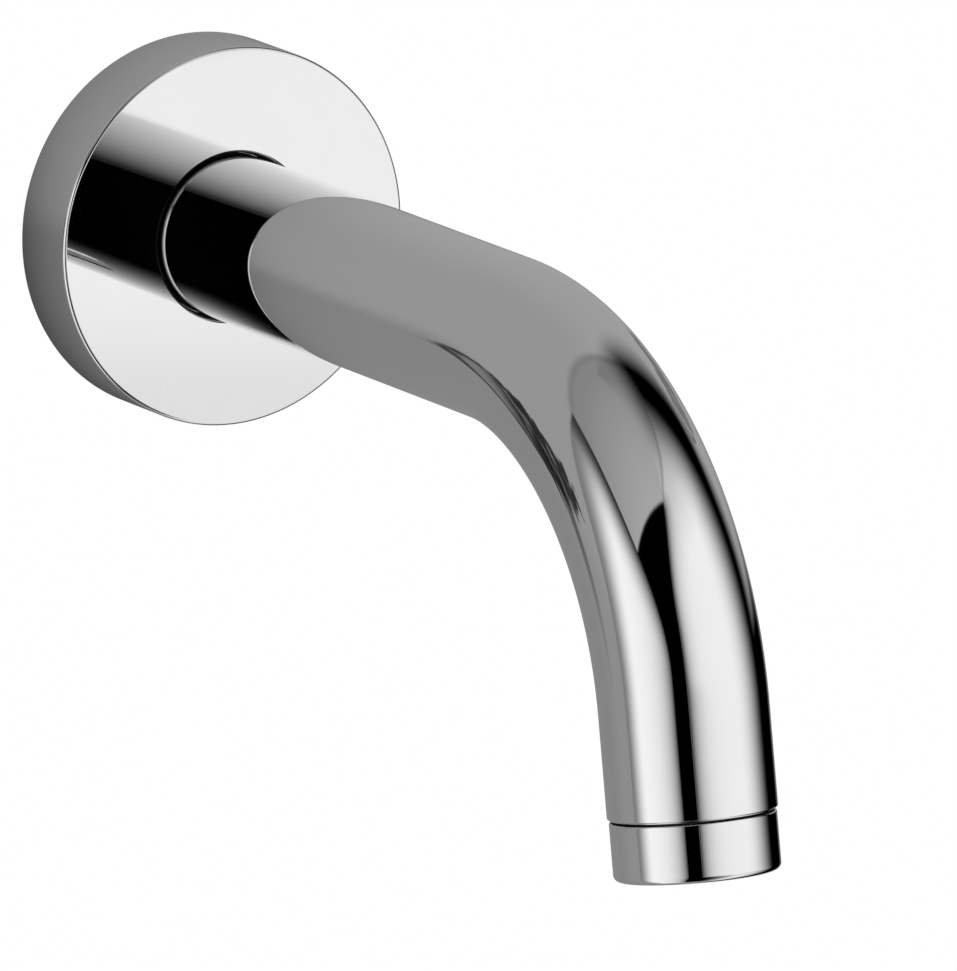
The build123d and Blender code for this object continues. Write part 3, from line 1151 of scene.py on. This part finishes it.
# %% A tree that moulds a honeycomb
def honeycomb_tree():
    tree = Tree("mould_honeycomb")
    tree.input("Geometry", "NodeSocketGeometry")
    radius = tree.input("Radius")
    height = tree.input("Height")
    flats = tree.input("Cell flats")
    web = tree.input("Web")
    rim = tree.input("Rim")
    bevel = tree.input("Bevel")
    start = tree.input("Start along")
    side = 13
    index = tree.wire("GeometryNodeInputIndex")
    row = tree.math("FLOOR", index / side) - side // 2
    column = tree.math("FLOORED_MODULO", index, side) - side // 2
    shift = tree.math("FLOORED_MODULO", row, 2.0) * 0.5
    pitch = flats + web
    cell = flats / sqrt(3)
    grid = tree.wire("GeometryNodePoints", None, {
        "Count": side * side,
        "Position": tree.vector((column + shift) * pitch, 0.0, row * pitch * (sqrt(3) / 2)),
    })
    place = tree.wire("GeometryNodeInputPosition")
    distance = tree.wire("ShaderNodeVectorMath", {"operation": "LENGTH"}, {0: place}, output="Value")
    outside = tree.math("GREATER_THAN", distance, radius - rim - cell)
    dropped = {"Geometry": grid, "Selection": outside}
    cells = tree.wire("GeometryNodeDeleteGeometry", {"domain": "POINT"}, dropped)

    # The pin's four rings stand at heights of 0.5 and 1.5 above and below its middle before they are moved.
    pin = tree.wire("GeometryNodeMeshCylinder", None, {
        "Vertices": 6, "Side Segments": 3, "Radius": cell, "Depth": 3.0,
    })
    x, y, z = tree.parts(place)
    end_ring = tree.math("GREATER_THAN", tree.math("ABSOLUTE", z), 1.0)
    wider = 1 + end_ring * bevel * 2 / cell
    level = tree.math("SIGN", z) * (height / 2 + bevel * (end_ring * 2 - 1))
    pin = tree.wire("GeometryNodeSetPosition", None, {
        "Geometry": pin, "Position": tree.vector(x * wider, y * wider, level),
    })
    pin = tree.wire("GeometryNodeTransform", None, {"Geometry": pin, "Rotation": (0, 0, radians(30))})
    along_axis = (radians(90), 0, 0)
    pins = tree.wire("GeometryNodeInstanceOnPoints", None, {
        "Points": cells, "Instance": pin, "Rotation": along_axis,
    })
    disc = tree.wire("GeometryNodeMeshCylinder", None, {"Vertices": 96, "Radius": radius, "Depth": height})
    disc = tree.wire("GeometryNodeTransform", None, {"Geometry": disc, "Rotation": along_axis})
    cut_out = {"Mesh 1": disc, "Mesh 2": pins}
    moulded = tree.wire("GeometryNodeMeshBoolean", {"operation": "DIFFERENCE", "solver": "EXACT"}, cut_out)
    there = tree.vector(0.0, -(start + height / 2), 0.0)
    tree.end(tree.wire("GeometryNodeTransform", None, {"Geometry": moulded, "Translation": there}))
    return tree


cartridge_radius = 8.44 * mm
honeycomb_start = tube_end + 5.3 * mm
moulding = honeycomb_tree()
honeycomb = add_object("honeycomb", bpy.data.meshes.new("honeycomb"))
moulding.apply(honeycomb, {
    "Radius": cartridge_radius,
    "Height": 3.2 * mm,
    "Cell flats": 1.75 * mm,
    "Web": 0.4 * mm,
    "Rim": 0.5 * mm,
    "Bevel": 0.12 * mm,
    "Start along": honeycomb_start,
    "Finish": white_plastic,
})
bend(honeycomb, "white_plastic")
finish_piece(honeycomb, "white_plastic", "honeycomb_outlet")

# %% [markdown]
# ## The stream screens
#
# Above the honeycomb lie two woven discs of stainless wire. In a plain weave each wire goes over one
# neighbour and under the next. Two cosines say that at once: a wire is high where both are positive or
# both negative. The tree lays straight lines side by side, bends them with that rule and gives them their
# thickness. The wires across are the same ones, turned over a diagonal. A rolled rim holds the ends, and
# the upper disc lies at 45 degrees.

# %% A tree that weaves a screen
def screen_tree():
    tree = Tree("weave_screen")
    tree.input("Geometry", "NodeSocketGeometry")
    radius = tree.input("Radius")
    thickness = tree.input("Thickness")
    pitch = tree.input("Pitch")
    turn = tree.input("Turn")
    middle = tree.input("Middle along")
    wires = 17
    wire_radius = thickness / 4
    reach = radius - thickness / 2
    offset = (tree.wire("GeometryNodeInputIndex") - wires // 2) * pitch
    side_by_side = {"Count": wires, "Position": tree.vector(0.0, offset, 0.0)}
    starts = tree.wire("GeometryNodePoints", None, side_by_side)
    line = tree.wire("GeometryNodeCurvePrimitiveLine", None, {"Start": (-1, 0, 0), "End": (1, 0, 0)})
    line = tree.wire("GeometryNodeResampleCurve", None, {"Curve": line, "Count": 2 * wires + 1})
    lines = tree.wire("GeometryNodeInstanceOnPoints", None, {"Points": starts, "Instance": line})
    lines = tree.wire("GeometryNodeRealizeInstances", None, {0: lines})
    x, y, z = tree.parts(tree.wire("GeometryNodeInputPosition"))
    run = x * tree.math("SQRT", reach * reach - y * y)
    wave = tree.math("COSINE", run / pitch * pi) * tree.math("COSINE", y / pitch * pi) * wire_radius
    woven = {"Geometry": lines, "Position": tree.vector(run, y, wave)}
    lines = tree.wire("GeometryNodeSetPosition", None, woven)

    def thick(curve, sides, size):
        section = tree.wire("GeometryNodeCurvePrimitiveCircle", None, {"Resolution": sides, "Radius": size})
        sockets = {"Curve": curve, "Profile Curve": section, "Fill Caps": True}
        return tree.wire("GeometryNodeCurveToMesh", None, sockets)

    warp = thick(lines, 5, wire_radius)
    over_diagonal = (pi, 0, pi / 2)
    weft = tree.wire("GeometryNodeTransform", None, {"Geometry": warp, "Rotation": over_diagonal})
    hoop = tree.wire("GeometryNodeCurvePrimitiveCircle", None, {"Resolution": 72, "Radius": reach})
    flat = tree.join(warp, weft, thick(hoop, 8, thickness / 2))
    aslant = {"Geometry": flat, "Rotation": tree.vector(0.0, 0.0, turn)}
    flat = tree.wire("GeometryNodeTransform", None, aslant)
    placed = {"Geometry": flat, "Rotation": (pi / 2, 0, 0), "Translation": tree.vector(0.0, -middle, 0.0)}
    tree.end(tree.wire("GeometryNodeTransform", None, placed))
    return tree


weaving = screen_tree()
screen_thickness = 0.5 * mm
for layer, place in enumerate(["lower", "upper"]):
    screen = add_object("woven_screen_" + place, bpy.data.meshes.new("woven_screen_" + place))
    weaving.apply(screen, {
        "Radius": cartridge_radius,
        "Thickness": screen_thickness,
        "Pitch": 1.0 * mm,
        "Turn": radians(45) * layer,
        "Middle along": honeycomb_start - (layer + 0.5) * screen_thickness,
        "Finish": stainless,
    })
    bend(screen, "stainless")
    finish_piece(screen, "stainless", "stream_screen_" + place)

# %% [markdown]
# ## Dressing the frame
#
# Every CAD node that still shows keeps its shape and gets its finish.

# %% Finishes on the CAD nodes
slots = {part["node"]: part["material_slot"] for part in frame["record"]["subparts"]}
for name, node in nodes.items():
    for slot in node.material_slots:
        slot.material = finishes[slots[name]]
print("dressed", len(nodes), "nodes")
